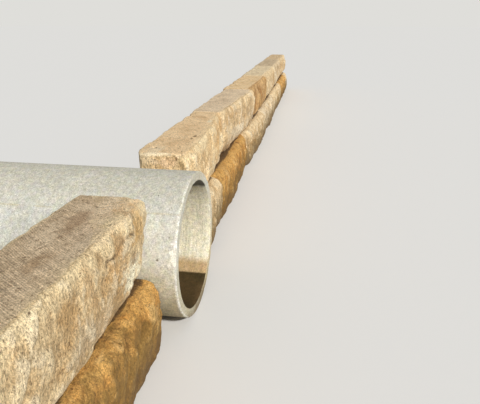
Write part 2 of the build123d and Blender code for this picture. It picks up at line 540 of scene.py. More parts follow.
def block_masks(node, form, seed, hollow, chip, line):
    """Where a block is sawn, hollow, pale on worn and lit edges, shaded along the crease, deep in the joint,
    cracked or ridged.
    """
    points, outward, behind = form["points"], form["outward"], form["behind"]
    up = outward[:, 2]
    fray = layered(points * 16.0, 3, seed + 51)
    edge = FRAYED["lower" if "lower" in node else "upper"]
    sawn = fade(0.6, 0.95, abs(up)) * (1 - chip)
    sawn *= 1 - fade(0, 0.5, up) * fade(1.6 * edge, 0.7 * edge, behind + 0.8 * edge * fray)
    if node in ROUGH_WEDGE:
        x, y, slope = ROUGH_WEDGE[node]
        sawn *= fade(-0.02, 0.05, points[:, 1] - y - slope * (points[:, 0] - x) + 0.06 * fray)
    end = 0.4 * fade(0.3, 0.8, abs(outward[:, 0]))
    back = 0.6 * fade(0.3, 0.8, outward[:, 1])
    side = np.max([fade(0.1, 0.7, -outward[:, 1]), end, back], axis=0)
    to_side = np.sort(np.minimum(form["from_low"], form["from_high"]), axis=1)[:, 1]
    shoulder = fade(0.80, 0.94, form["share"]) * fade(0.10, 0.02, behind) * (1 - 0.6 * sawn)
    return {
        "sawn": sawn,
        "hollow": hollow * np.maximum(side, 0.5 * (1 - sawn)),
        # pale edges: worn, and partly a painted highlight where rounded edges catch the light; then painted
        # shade along the top's crease
        "worn": np.maximum(shoulder, fade(0.040, 0.008, to_side)),
        "crease": fade(0.5, 0.9, up) * fade(0.020, 0.010, behind) * fade(0.99, 1.0, form["share"]),
        "open_joint": fade(0.094, 0.122, form["recessed"]) * fade(0.06, 0.02, abs(points[:, 2])),
        "crack": np.clip(line, 0, 1),
        "ridge": np.clip(-line, 0, 1),
    }


print("broken strip behind the top's front edge, by course:", FRAYED)

# %% Lay the blocks
FINE = {"left_upper_1": 0.0088, "left_lower_1": 0.010, "right_upper_1": 0.0105, "right_upper_2": 0.013,
        "right_upper_3": 0.015, "left_lower_2": 0.015}
PLAIN_SPACING = 0.0185
block_nodes = sorted(node for node in frame["nodes"] if node != "concrete_pipe")
blocks = {}
for number, node in enumerate(block_nodes):
    seed = 101 + 13 * number
    spacing = FINE.get(node, PLAIN_SPACING)
    form = block_form(node, spacing, seed)
    move, *seen = block_relief(node, form, spacing, seed)
    points = form["points"] + move
    blocks[node] = make_piece(node, points, form["quads"], block_masks(node, form, seed, *seen))
    print(node, len(form["quads"]) * 2, "triangles,", round(volume(points, form["quads"]), 3), "m3")

# %% [markdown]
# The pipe was cast standing in a steel mould: its outside keeps three fine lines from the mould's edges,
# and its bore was pressed smooth. It is one closed profile of radius and depth, carried round the Y axis.
# The rings lie close together at the mouth, where the arrises are chipped, and further apart behind.

# %% Profile of the pipe
PIPE_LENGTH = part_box("concrete_pipe")[1][1]
BORE = 0.450
JOINT_STEP = 0.032
JOINT_LENGTH = 0.060
OUTER_ARRIS = 0.006
INNER_ARRIS = 0.005
AROUND = 330


def run(start, end, rings, crowd=1.0):
    """Points from start up to, but not with, end: shares s^crowd, so a crowd above 1 packs the start."""
    s = (np.arange(rings) / rings) ** crowd
    return np.array(start) + s[:, None] * (np.array(end) - np.array(start))


def pipe_profile():
    """Closed line of (radius, y): mouth ring, outside, stepped back end, and the bore back to the mouth."""
    step, bottom = BORE + JOINT_STEP, PIPE_LENGTH - JOINT_LENGTH
    corners = [
        ((BORE + INNER_ARRIS, 0.0), 7, 1.0),
        ((BARREL_RADIUS - OUTER_ARRIS, 0.0), 3, 1.0),
        ((BARREL_RADIUS, OUTER_ARRIS), 84, 1.45),
        ((BARREL_RADIUS, PIPE_LENGTH), 3, 1.0),
        ((step, PIPE_LENGTH), 3, 1.0),
        ((step, bottom), 3, 1.0),
        ((BORE, bottom), 44, 0.7),
        ((BORE, INNER_ARRIS), 3, 1.0),
    ]
    ends = [corner for corner, _, _ in corners[1:] + corners[:1]]
    stretches = [run(start, end, rings, crowd) for (start, rings, crowd), end in zip(corners, ends)]
    return np.concatenate(stretches)


profile = pipe_profile()
print("pipe: bore", BORE, "m, profile of", len(profile), "rings")

# %% The cast barrel
SEAMS = (44.7, 96.9, 224.7)  # where the mould's edges left their lines, degrees from the crown to -X
SEAM_WIDTH = 0.55            # in degrees
SEAM_DEPTH = 0.0007
CAST_WAVE = 0.0012           # how far the cast outside waves, and its sandy roughness
CAST_SAND = 0.0006
PINHOLES = ((76.9, 0.118, 0.007), (52.0, 0.30, 0.006), (30.0, 0.17, 0.005), (61.0, 0.05, 0.004))
PINHOLE_DEPTH = 0.004
BITE = 0.006                 # depth of the bites out of the mouth's arrises
OUTER_REACH = 0.011          # and how far from each arris they reach
INNER_REACH = 0.009


def turned(profile, around):
    """Ring k of the profile at angle a from the crown to -X: (-r sin a, y, r cos a), in equal steps of a."""
    angle = np.arange(around) / around * 2 * math.pi
    r, y = profile[:, 0][:, None], profile[:, 1][:, None]
    points = np.stack([-r * np.sin(angle), y + 0 * angle, r * np.cos(angle)], axis=-1)
    n = np.arange(len(profile) * around).reshape(len(profile), around)
    next_ring, next_angle = np.roll(n, -1, axis=0), np.roll(n, -1, axis=1)
    both = np.roll(next_ring, -1, axis=1)
    quads = np.stack([n, next_ring, both, next_angle], axis=-1).reshape(-1, 4)
    return points.reshape(-1, 3), quads, np.tile(angle, len(profile)), np.repeat(profile, around, axis=0)


def pipe_relief(points, angle, ring):
    """Moves along the radius, inwards outside and outwards in the bore, and places along Y."""
    outside = (ring[:, 0] > BARREL_RADIUS - 0.5 * OUTER_ARRIS).astype(float)
    inside = ((ring[:, 0] < BORE + 0.001) & (ring[:, 1] < PIPE_LENGTH - JOINT_LENGTH)).astype(float)
    wave = 0.5 + 0.5 * layered(points * 4.0, 3, 7)
    sand = 0.5 + 0.5 * layered(points * 45.0, 2, 9)
    radial = -outside * (CAST_WAVE * wave + CAST_SAND * sand) + inside * CAST_SAND * sand
    degrees = np.degrees(angle)
    for seam in SEAMS:
        radial -= outside * SEAM_DEPTH * np.exp(-((degrees - seam) / SEAM_WIDTH) ** 2)
    for at, depth, radius in PINHOLES:
        across = BARREL_RADIUS * np.radians(degrees - at)
        radial -= outside * PINHOLE_DEPTH * np.exp(-(across ** 2 + (ring[:, 1] - depth) ** 2) / radius ** 2)
    outer = np.exp(-((ring[:, 0] - BARREL_RADIUS) ** 2 + ring[:, 1] ** 2) / OUTER_REACH ** 2)
    inner = np.exp(-((ring[:, 0] - BORE) ** 2 + ring[:, 1] ** 2) / INNER_REACH ** 2)
    bites = BITE * fade(0.15, 0.7, layered(points * 16.0, 3, 21))
    radial += bites * (inner - outer)
    y = ring[:, 1] + 0.0008 * (ring[:, 1] < 0.001) * wave + bites * (outer + inner)
    return radial, y


points, quads, angle, ring = turned(profile, AROUND)
radial, y = pipe_relief(points, angle, ring)
away = np.stack([-np.sin(angle), 0 * angle, np.cos(angle)], axis=1)
points += radial[:, None] * away
points[:, 1] = np.minimum(y, PIPE_LENGTH)
pipe = make_piece("concrete_pipe", points, quads, {"bore": (ring[:, 0] < BORE + 0.002).astype(float)})
print("pipe:", 2 * len(quads), "triangles,", round(volume(points, quads), 3), "m3")

# %% [markdown]
# A finish is a small tree of nodes. To keep it readable, each word below adds one node and hands on its
# output, so that a recipe reads like a list of coats. Patterns live in the object's own coordinates:
# every piece sits at the origin, so these are metres in the wall's frame, and stretching a pattern along
# Z turns round patches into upright streaks.

# %% Words for finishes
def tone(red, green, blue):
    """A colour as the eye names it, 0 to 255 a channel, turned into the light it gives back."""
    share = np.array([red, green, blue]) / 255
    light = np.where(share <= 0.04045, share / 12.92, ((share + 0.055) / 1.055) ** 2.4)
    return (*[float(v) for v in light], 1.0)


class Words:
    """A material in the making, with its shades by name: each word adds a node and gives back its output."""

    def __init__(self, name, shades):
        self.material = bpy.data.materials.new(name)
        self.material.use_nodes = True
        self.nodes = self.material.node_tree.nodes
        self.links = self.material.node_tree.links
        self.shader = self.nodes["Principled BSDF"]
        self.shade = {key: tone(*rgb) for key, rgb in shades.items()}
        self.place = self.add("TexCoord", {}, "Object")

    def feed(self, socket, value):
        """A socket gets another node's output, a shade's colour by its name, or a plain value."""
        if isinstance(value, bpy.types.NodeSocket):
            self.links.new(value, socket)
        else:
            socket.default_value = self.shade[value] if isinstance(value, str) else value

    def add(self, kind, inputs, output, **settings):
        node = self.nodes.new("ShaderNode" + kind)
        for key, value in settings.items():
            setattr(node, key, value)
        for key, value in inputs.items():
            self.feed(node.inputs[key], value)
        return node.outputs[output]

    def sum(self, operation, *values):
        return self.add("Math", dict(enumerate(values)), 0, operation=operation)

    def vector(self, operation, *values):
        output = "Value" if operation == "LENGTH" else "Vector"
        return self.add("VectorMath", dict(enumerate(values)), output, operation=operation)

    def part(self, vector, axis):
        return self.add("SeparateXYZ", {0: vector}, axis)

    def carried(self, name):
        return self.add("Attribute", {}, "Fac", attribute_name=name)

    def stretched(self, vector, scale=(1, 1, 1), shift=(0, 0, 0), turn=(0, 0, 0)):
        """The vector scaled, then turned, then shifted."""
        inputs = {"Vector": vector, "Location": shift, "Rotation": turn, "Scale": scale}
        return self.add("Mapping", inputs, "Vector")


print("tone of honey stone:", [round(v, 3) for v in tone(206, 178, 132)])


# %% Patterns, masks and coats
class Finish(Words):
    """The words for patterns, for masks that say where a coat lies, and for the coats themselves."""

    def noise(self, vector, scale, detail=3.0, roughness=0.5):
        inputs = {"Vector": vector, "Scale": scale, "Detail": detail, "Roughness": roughness}
        return self.add("TexNoise", inputs, "Fac")

    def coloured(self, vector, scale):
        """Three noises at once, as a vector round (0.5, 0.5, 0.5)."""
        return self.add("TexNoise", {"Vector": vector, "Scale": scale}, "Color")

    def warped(self, vector, scale, amount):
        """The vector shifted by a coloured noise, so that patterns on it lose their straight lines."""
        shift = self.vector("MULTIPLY_ADD", self.coloured(vector, scale), (amount,) * 3, (-amount / 2,) * 3)
        return self.vector("ADD", vector, shift)

    def specks(self, vector, scale):
        return self.add("TexVoronoi", {"Vector": vector, "Scale": scale}, "Distance")

    def rings(self, vector, scale, distortion):
        inputs = {"Vector": vector, "Scale": scale, "Distortion": distortion}
        inputs.update({"Detail": 2.0, "Detail Scale": 1.5})
        return self.add("TexWave", inputs, "Fac", wave_type="RINGS", rings_direction="Z")

    def mask(self, value, low, high, most=1.0):
        """0 below low and most above high, softly between; with low above high it turns round."""
        ends = {"From Min": min(low, high), "From Max": max(low, high)}
        heights = {"To Min": 0.0 if low < high else most, "To Max": most if low < high else 0.0}
        inputs = {"Value": value, **ends, **heights}
        return self.add("MapRange", inputs, "Result", interpolation_type="SMOOTHSTEP")

    def both(self, *masks):
        total = masks[0]
        for other in masks[1:]:
            total = self.sum("MULTIPLY", total, other)
        return total

    def blotch(self, vector, centre, size, most=1.0, ragged=0.5):
        """Most at the centre and 0 past size; a ragged noise round 0.5 frays its edge."""
        scale = [1 / s for s in size]
        shift = [-c * s for c, s in zip(centre, scale)]
        away = self.vector("LENGTH", self.stretched(vector, scale, shift))
        frayed = self.sum("MULTIPLY_ADD", ragged, 3.0, self.sum("SUBTRACT", away, 1.5))
        return self.mask(frayed, 1.1, 0.4, most)

    def ramp(self, value, stops):
        node = self.nodes.new("ShaderNodeValToRGB")
        self.feed(node.inputs["Fac"], value)
        stones = node.color_ramp.elements
        while len(stones) < len(stops):
            stones.new(0.5)
        for stone, (at, name) in zip(stones, stops):
            stone.position = at
            stone.color = self.shade[name]
        return node.outputs["Color"]

    def coat(self, under, over, amount):
        return self.add("Mix", {0: amount, 6: under, 7: over}, 2, data_type="RGBA")

    def shaded(self, colour, value, depth, where=1.0):
        """The colour times 1 + depth (value - 0.5) where it applies: noise round 0.5 keeps the mean."""
        swing = self.sum("MULTIPLY", self.sum("SUBTRACT", value, 0.5), depth)
        return self.vector("MULTIPLY", colour, self.sum("MULTIPLY_ADD", swing, where, 1.0))

    def relief(self, height, distance, under=None):
        inputs = {"Height": height, "Distance": distance}
        return self.add("Bump", inputs if under is None else {**inputs, "Normal": under}, "Normal")

    def done(self, colour, roughness, normal=None, gloss=0.3):
        self.feed(self.shader.inputs["Base Color"], colour)
        self.feed(self.shader.inputs["Roughness"], roughness)
        if normal is not None:
            self.feed(self.shader.inputs["Normal"], normal)
        self.shader.inputs["Specular IOR Level"].default_value = gloss
        return self.material


print("words:", ", ".join(word for word in (*vars(Words), *vars(Finish)) if not word.startswith("_")))

# %% [markdown]
# Sandstone is sand held by clay and iron. Iron that travelled in the rock's water left ochre and brown
# clouds, clean sand stays cream, and weather greys what lies open. The coats follow that order: body
# colour in patches, clouds of iron, dull brown and cream, upright streaks on the split face, the greyer
# sawn top with its blade marks, the pale shoulder and edges, worn and partly a painted highlight, painted
# shade along the top's crease, in hollows and in cracks, painted highlight on crests and ridges, grain,
# and soil marks low on the wall. Every cloud is a noise with many rough layers, since smooth edges would
# look like wood.

# %% Shades of sandstone
EARTH = {"soil": (104, 80, 52), "dark": (74, 56, 38)}
SHADES = {
    "sandstone_pale": {
        "deep": (196, 160, 112), "body": (224, 194, 148), "light": (242, 218, 176), "iron": (204, 152, 86),
        "streak": (184, 152, 108), "cream": (250, 234, 200), "sawn": (230, 202, 160),
        "sawn_deep": (204, 174, 134)},
    "sandstone_grey": {
        "deep": (186, 158, 120), "body": (220, 194, 154), "light": (240, 220, 184), "iron": (198, 152, 96),
        "streak": (176, 150, 114), "cream": (246, 232, 204), "sawn": (218, 196, 162),
        "sawn_deep": (192, 168, 134)},
    "sandstone_orange": {
        "deep": (166, 118, 58), "body": (204, 152, 82), "light": (224, 178, 104), "iron": (210, 142, 56),
        "streak": (140, 98, 50), "cream": (238, 200, 136), "sawn": (204, 154, 90),
        "sawn_deep": (172, 124, 68)},
}
DAMP = (110, 88, 42)
# Clouds on split faces: shade, where their pattern is taken from, where they begin and are full, strength
CLOUDS = (
    ("iron", 3.1, 0.51, 0.66, 0.65),
    ("streak", 7.7, 0.54, 0.70, 0.45),
    ("cream", 12.9, 0.52, 0.68, 0.55),
)
BLADE_SPACING = 0.0105
BLADE_REACH = 2.0            # radius of the saw's arcs
WAVE_LENGTH = 0.314          # the wave texture repeats after this at a scale of 1
SCORED = {"left_upper_1": 2.0}                       # how strongly a sawn face shows its scores
PLAINLY_SCORED = 0.6


class Stone(Finish):
    """A block's finish in the making, with the patterns that its coats share."""

    def __init__(self, name, seed, shades):
        super().__init__(name, {**EARTH, "damp": DAMP, **shades})
        self.own = self.stretched(self.place, shift=(seed * 1.7, seed * 0.9, seed * 2.3))
        self.loose = self.warped(self.own, 6.0, 0.05)
        self.flat = self.mask(self.carried("sawn"), 0.42, 0.58)
        self.split = self.sum("SUBTRACT", 1.0, self.flat)
        self.ragged = self.noise(self.loose, 13.0, 7.0, 0.7)
        self.grain = self.noise(self.place, 30.0, 6.0, 0.95)
        self.coarse = self.noise(self.place, 42.0, 5.0, 0.62)
        self.fine = self.noise(self.stretched(self.place, (1.0, 1.0, 0.45)), 110.0, 3.0, 0.95)
        leaned = self.stretched(self.warped(self.own, 9.0, 0.04), turn=(0, LEAN, 0))
        self.streak = self.noise(self.stretched(leaned, (1.0, 1.0, 0.3)), 30.0, 4.0, 0.66)


print("shades:", ", ".join(f"{slot} {len(shades)}" for slot, shades in SHADES.items()))

# %% Coats of split and sawn faces
def split_face(f):
    """Body colour in patches, clouds of iron, dull brown and cream, and upright streaks."""
    colour = f.ramp(f.noise(f.loose, 3.2, 9.0, 0.76), [(0.37, "deep"), (0.50, "body"), (0.63, "light")])
    for name, away, low, high, most in CLOUDS:
        cloud = f.noise(f.stretched(f.loose, (0.8, 1.0, 1.3), (away, 0, away)), 2.6, 8.0, 0.74)
        colour = f.coat(colour, name, f.both(f.mask(cloud, low, high, most), f.split))
    colour = f.coat(colour, "streak", f.both(f.mask(f.streak, 0.47, 0.36, 0.4), f.split))
    return f.shaded(colour, f.streak, 0.6, f.split)


def blade_scores(f, blade_angle):
    """Noise turned with the blade and drawn out 17 times along its way, so that it reads as scratches."""
    across = f.stretched(f.warped(f.place, 3.0, 0.008), turn=(0, 0, -blade_angle))
    return f.noise(f.stretched(across, (1.0, 0.06, 0.3)), 74.0, 3.0, 0.8)


def sawn_face(f, node, blade_angle, scores):
    """Soft patches, the blade's arcs round a centre BLADE_REACH away, and its scores."""
    colour = f.ramp(f.noise(f.loose, 6.0, 9.0, 0.72), [(0.38, "sawn_deep"), (0.58, "sawn")])
    low, high = (np.array(corner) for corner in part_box(node))
    centre = (low + high) / 2 + BLADE_REACH * np.array([math.cos(blade_angle), math.sin(blade_angle), 0])
    from_centre = f.stretched(f.warped(f.place, 2.0, 0.012), shift=tuple(-centre))
    arcs = f.rings(from_centre, WAVE_LENGTH / BLADE_SPACING, 0.25)
    colour = f.shaded(colour, arcs, 0.32, f.mask(f.noise(f.own, 3.0, 4.0, 0.6), 0.30, 0.55))
    return f.shaded(colour, scores, SCORED.get(node, PLAINLY_SCORED))


print("the saw's arcs lie", BLADE_SPACING, "m apart, with a radius of", BLADE_REACH, "m")

# %% Coats of wear, sand and soil
SOIL_TOP = floor_z + 0.26
SOIL_FULL = floor_z + 0.08


def worn_edges(f, colour):
    """The pale shoulder and edges, worn and partly a painted highlight, and painted shade along the crease
    behind the top's front edge.
    """
    worn = f.both(f.carried("worn"), f.mask(f.noise(f.own, 11.0, 6.0, 0.7), 0.30, 0.60, 0.75))
    # pale edges: worn, and partly a painted highlight
    colour = f.coat(colour, "light", worn)
    # painted shade along the crease behind the front edge
    return f.coat(colour, "streak", f.both(f.carried("crease"), f.mask(f.coarse, 0.38, 0.5, 0.45)))


def seen_patches(f, colour, marks):
    """Patches seen on one block, each as a shade or a tone, its centre, its size and its strength."""
    shaken = f.warped(f.place, 9.0, 0.06)
    for name, centre, size, strength in marks:
        over = name if name in f.shade else tone(*name)
        colour = f.coat(colour, over, f.blotch(shaken, centre, size, strength, f.ragged))
    return colour


def hollows_and_crests(f, colour):
    """Painted shade, dull to dark, in hollows and cracks, and painted highlight, cream, on crests and
    ridges; the grain frays their edges.
    """
    hollow = f.sum("ADD", f.carried("hollow"), f.sum("MULTIPLY_ADD", f.grain, 3.0, -1.5))
    crack = f.sum("ADD", f.carried("crack"), f.sum("MULTIPLY_ADD", f.ragged, 2.0, -1.0))
    # painted shade in hollows, painted highlight on crests and ridges, then painted shade in cracks
    colour = f.coat(colour, "streak", f.mask(hollow, -0.05, -0.75, 0.7))
    colour = f.coat(colour, "dark", f.mask(hollow, -0.80, -1.6, 0.55))
    colour = f.coat(colour, "cream", f.mask(hollow, 0.30, 0.95, 0.55))
    colour = f.coat(colour, "cream", f.mask(f.carried("ridge"), 0.25, 0.8, 0.5))
    return f.coat(colour, "dark", f.mask(crack, 0.30, 0.9, 0.65))


def sand(f, colour):
    """Sand grain in three sizes, the first of them stronger on split stone, and specks of rust."""
    colour = f.shaded(colour, f.grain, f.sum("MULTIPLY_ADD", f.flat, -1.4, 3.0))
    colour = f.shaded(colour, f.coarse, 0.6)
    colour = f.shaded(colour, f.fine, 3.4)
    patchy = f.mask(f.noise(f.own, 5.0, 2.0), 0.52, 0.6, 0.5)
    return f.coat(colour, "iron", f.both(f.mask(f.specks(f.place, 42.0), 0.16, 0.06), patchy))


def soil_marks(f, colour, foot):
    """Crumbs of soil in the open joint, the damp foot up to a line that may fall along X, and soil below."""
    crumbs = f.sum("ADD", f.carried("open_joint"), f.sum("MULTIPLY_ADD", f.grain, 6.0, -3.0))
    colour = f.coat(colour, "soil", f.mask(crumbs, 0.15, 0.6, 0.8))
    colour = f.coat(colour, "dark", f.mask(crumbs, 0.6, 1.0, 0.8))
    level, from_x, slope = foot
    beyond = f.sum("MAXIMUM", f.sum("SUBTRACT", f.part(f.place, "X"), from_x), 0.0)
    height = f.sum("MULTIPLY_ADD", f.ragged, -0.8, f.sum("ADD", f.part(f.place, "Z"), 0.40))
    above = f.sum("ADD", height, f.sum("MULTIPLY", beyond, slope))
    colour = f.coat(colour, "damp", f.mask(above, level + 0.10, level - 0.14, 0.65))
    return f.coat(colour, "soil", f.mask(height, SOIL_TOP, SOIL_FULL, 0.6))


def sandstone(node, seed, shades, blade_angle, foot, marks):
    """One block's own finish, coat by coat, with a bump for scores, streaks and two sizes of grain."""
    f = Stone(node + "_stone", seed, shades)
    scores = blade_scores(f, blade_angle)
    colour = f.coat(split_face(f), sawn_face(f, node, blade_angle, scores), f.flat)
    colour = seen_patches(f, worn_edges(f, colour), marks)
    colour = soil_marks(f, sand(f, hollows_and_crests(f, colour)), foot)
    normal = f.relief(f.both(scores, f.flat), 0.0022)
    normal = f.relief(f.both(f.sum("SUBTRACT", f.streak, 0.5), f.split), 0.012, normal)
    normal = f.relief(f.coarse, 0.006, normal)
    normal = f.relief(f.fine, 0.004, normal)
    return f.done(colour, f.sum("MULTIPLY_ADD", f.coarse, 0.3, 0.72), normal)


print("soil clings to the stone up to z", round(SOIL_TOP, 3))

# %% A finish for every block
OWN_SHADES = {
    "left_upper_1": {"sawn": (214, 190, 157), "sawn_deep": (186, 162, 130), "body": (222, 196, 152),
                     "deep": (194, 160, 112), "light": (242, 220, 176), "cream": (252, 236, 202)},
    "right_upper_1": {"sawn": (250, 218, 172), "sawn_deep": (228, 191, 143), "deep": (222, 184, 132),
                      "body": (238, 206, 156), "light": (250, 228, 184), "streak": (208, 172, 124)},
    "right_upper_2": {"sawn": (242, 218, 184), "sawn_deep": (220, 194, 160), "body": (226, 195, 148),
                      "light": (246, 220, 176)},
    "right_upper_4": {"sawn": (246, 226, 188), "sawn_deep": (224, 200, 162), "body": (230, 202, 158)},
    # right_upper_3: its darker browns are partly the stone's own colour and partly painted shade of its
    # set-back end
    "right_upper_3": {"deep": (138, 98, 54), "body": (178, 136, 86), "light": (222, 184, 132),
                      "iron": (176, 116, 54), "sawn": (252, 222, 176), "sawn_deep": (232, 196, 144)},
}
MARKS = {
    "left_upper_1": [
        ((228, 206, 174), (-1.06, 0.440, 0.525), (0.26, 0.070, 0.06), 0.60),
        ((224, 198, 166), (-0.80, 0.285, 0.525), (0.34, 0.075, 0.06), 0.60),
        ((246, 222, 188), (-0.67, 0.340, 0.525), (0.18, 0.150, 0.06), 0.65),
        ((156, 124, 92), (-0.90, 0.395, 0.525), (0.20, 0.070, 0.06), 0.60),
        ((164, 133, 98), (-1.36, 0.345, 0.525), (0.12, 0.055, 0.06), 0.50),
        ((206, 186, 158), (-1.13, 0.225, 0.525), (0.22, 0.050, 0.06), 0.45),
        ((250, 224, 182), (-0.93, 0.180, 0.525), (0.28, 0.045, 0.05), 0.50),
        ((250, 216, 174), (-0.66, 0.200, 0.525), (0.15, 0.070, 0.05), 0.60),
        ((172, 146, 114), (-0.60, 0.420, 0.525), (0.10, 0.080, 0.05), 0.40),
        ((230, 182, 108), (-0.77, 0.160, 0.400), (0.08, 0.120, 0.07), 0.60),
        ((255, 246, 214), (-0.80, 0.16, 0.205), (0.17, 0.12, 0.13), 1.0),
        ((218, 174, 106), (-0.66, 0.17, 0.42), (0.10, 0.20, 0.15), 0.55),
        ((168, 126, 76), (-0.94, 0.15, 0.43), (0.07, 0.12, 0.10), 0.60),
        ((176, 136, 84), (-0.75, 0.17, 0.47), (0.05, 0.12, 0.10), 0.45),
        ("iron", (-1.02, 0.15, 0.34), (0.12, 0.12, 0.09), 0.45),
        ((186, 142, 88), (-1.28, 0.15, 0.38), (0.06, 0.12, 0.12), 0.45),
        ((176, 158, 132), (-0.77, 0.15, 0.27), (0.05, 0.12, 0.035), 0.80),
        ((186, 164, 132), (-1.38, 0.15, 0.19), (0.12, 0.12, 0.11), 0.65),
        ((228, 206, 172), (-1.22, 0.15, 0.12), (0.12, 0.12, 0.09), 0.60),
    ],
    "right_upper_1": [
        ((246, 218, 180), (0.43, 0.44, 0.455), (0.12, 0.050, 0.030), 0.60),
        ((248, 214, 176), (0.43, 0.33, 0.455), (0.12, 0.070, 0.035), 0.60),
        ((170, 122, 84), (0.43, 0.265, 0.50), (0.05, 0.016, 0.022), 0.75),
        # painted shade: the end face's shaded strip by its front corner
        ((200, 172, 124), (0.45, 0.217, 0.45), (0.12, 0.030, 0.050), 0.60),
        ("cream", (0.55, 0.47, 0.525), (0.16, 0.080, 0.05), 0.45),
        # painted shade in three holes in the top
        ((86, 64, 44), (0.63, 0.492, 0.510), (0.036, 0.018, 0.05), 0.9),
        ((96, 74, 50), (0.98, 0.275, 0.515), (0.044, 0.014, 0.05), 0.8),
        ((96, 74, 50), (1.06, 0.262, 0.515), (0.030, 0.012, 0.05), 0.8),
        ((250, 226, 186), (0.43, 0.50, 0.48), (0.10, 0.080, 0.060), 0.70),
        # painted highlights: the lit arrises at the top and the front of the end
        ((255, 236, 200), (0.43, 0.40, 0.514), (0.05, 0.24, 0.020), 0.80),
        ((255, 236, 200), (0.44, 0.165, 0.46), (0.04, 0.020, 0.070), 0.60),
        ("cream", (1.75, 0.29, 0.525), (0.06, 0.025, 0.03), 0.9),
        ((196, 150, 94), (2.15, 0.25, 0.42), (0.18, 0.12, 0.10), 0.6),
    ],
    "right_upper_2": [
        ("cream", (3.0, 0.20, 0.16), (0.55, 0.15, 0.12), 0.6),
        ((190, 148, 92), (2.45, 0.22, 0.42), (0.22, 0.12, 0.10), 0.55),
    ],
}
# Top of the damp foot, and from which x it falls and how fast
FEET = {"left_lower_1": (-0.03, -0.95, 0.38)}
PLAIN_FOOT = (-0.20, 0.0, 0.0)
BLADE_ANGLE = -0.57          # of the saw's centre from left_upper_1
BLADE_TURN = 0.9             # from one block to the next
for number, node in enumerate(block_nodes):
    shades = {**SHADES[slot_of[node]], **OWN_SHADES.get(node, {})}
    blade_angle = BLADE_ANGLE + BLADE_TURN * (number - block_nodes.index("left_upper_1"))
    foot, marks = FEET.get(node, PLAIN_FOOT), MARKS.get(node, ())
    blocks[node].data.materials.append(sandstone(node, 3 + number, shades, blade_angle, foot, marks))
print("finishes for", len(blocks), "blocks")

# %% [markdown]
# Concrete is grey higher up, and warmer, yellower and darker towards the ground. The barrel
# has faint clouds, pores, mould lines and a near-white patch beside the mouth. Inside, rings from the
# casting show, and the water has left an ochre band at its line.

# %% Shades and places on the concrete
# Painted among these: shade under the bore's crown and in the pinholes, shade deep in the bore and in the
# pores in the damp colour, and a highlight on the mouth's outer arris in the palest white.
CEMENT = {
    "deep": (187, 187, 175), "body": (212, 211, 201), "light": (230, 229, 219), "warm": (200, 190, 158),
    "earthy": (186, 164, 112), "damp": (140, 128, 94), "tide": (182, 148, 100), "lime": (252, 252, 245),
    "green": (172, 176, 152), "dust": (192, 186, 166), "grime": (66, 63, 58), "ring": (206, 186, 148),
    "bore_deep": (212, 205, 180), "bore": (237, 229, 203), "bore_light": (247, 240, 219),
    "under_water": (43, 34, 6), "pinhole": (96, 90, 74)}
WATER_LINE = -0.376
TIDE_TOP = WATER_LINE + 0.13
GREEN_BAND = 92.0            # degrees from the crown to -X
PALE_PATCH_CENTRE = (-0.495, 0.008, 0.145)
PALE_PATCH_SIZE = (0.070, 0.034, 0.115)


class Cast(Finish):
    """The pipe's finish in the making, with its clouds and where a point lies, by angle too."""

    def __init__(self, name, shades):
        super().__init__(name, {**EARTH, **shades})
        self.bore = self.carried("bore")
        self.off_bore = self.mask(self.bore, 0.5, 0.4)
        self.x, self.y, self.z = (self.part(self.place, axis) for axis in "XYZ")
        self.angle = self.sum("ARCTAN2", self.sum("MULTIPLY", self.x, -1.0), self.z)
        self.loose = self.warped(self.place, 6.0, 0.06)
        self.clouds = self.noise(self.loose, 4.5, 9.0, 0.68)

    def cloudy(self, value, amount):
        """A value shaken by the clouds, so that no edge made from it is ruled."""
        return self.sum("MULTIPLY_ADD", self.clouds, amount, value)

    def off_angle(self, degrees):
        return self.sum("ABSOLUTE", self.sum("SUBTRACT", self.angle, math.radians(degrees)))


print("concrete: water line at", WATER_LINE, "m, and", len(CEMENT), "shades")

# %% Coats of the barrel, the bore and the water
def barrel(f):
    """Grey clouds, dusty near the crown, and warmer, yellower and darker towards the ground."""
    colour = f.ramp(f.clouds, [(0.25, "deep"), (0.50, "body"), (0.75, "light")])
    colour = f.coat(colour, "dust", f.mask(f.cloudy(f.z, 0.5), 0.58, 0.74, 0.55))
    low = f.cloudy(f.z, 0.3)
    colour = f.coat(colour, "warm", f.mask(low, 0.36, 0.02, 0.65))
    return f.coat(colour, "earthy", f.mask(low, 0.06, -0.16, 0.45))


def bore(f):
    """Fine rings from the casting, painted shade under the crown, and painted shade in the damp colour that
    darkens the bore further in.
    """
    ringed = f.noise(f.stretched(f.place, (1.5, 30.0, 1.5)), 2.4, 7.0, 0.7)
    colour = f.ramp(ringed, [(0.34, "bore_deep"), (0.50, "bore"), (0.66, "bore_light")])
    # painted shade: the crown inside the mouth, where the sun does not reach
    colour = f.coat(colour, "grime", f.mask(f.cloudy(f.z, 0.10), 0.335, 0.385, 0.9))
    # painted shade: the bore darker the further in
    return f.coat(colour, "damp", f.mask(f.y, 0.5, 2.2, 0.6))


def water_marks(f, colour):
    """In the bore the ochre band above the water line and the dark below it; outside, the damp foot."""
    tide = f.mask(f.cloudy(f.z, 0.06), TIDE_TOP, TIDE_TOP - 0.06, 0.85)
    colour = f.coat(colour, "tide", f.both(tide, f.bore))
    under = f.mask(f.z, WATER_LINE + 0.006, WATER_LINE - 0.004, 0.94)
    colour = f.coat(colour, "under_water", f.both(under, f.bore))
    damp = f.mask(f.cloudy(f.z, 0.2), WATER_LINE + 0.16, WATER_LINE + 0.02, 0.6)
    return f.coat(colour, "damp", f.both(damp, f.off_bore))


print("the ochre band ends", round(TIDE_TOP - floor_z, 3), "m above the bed")

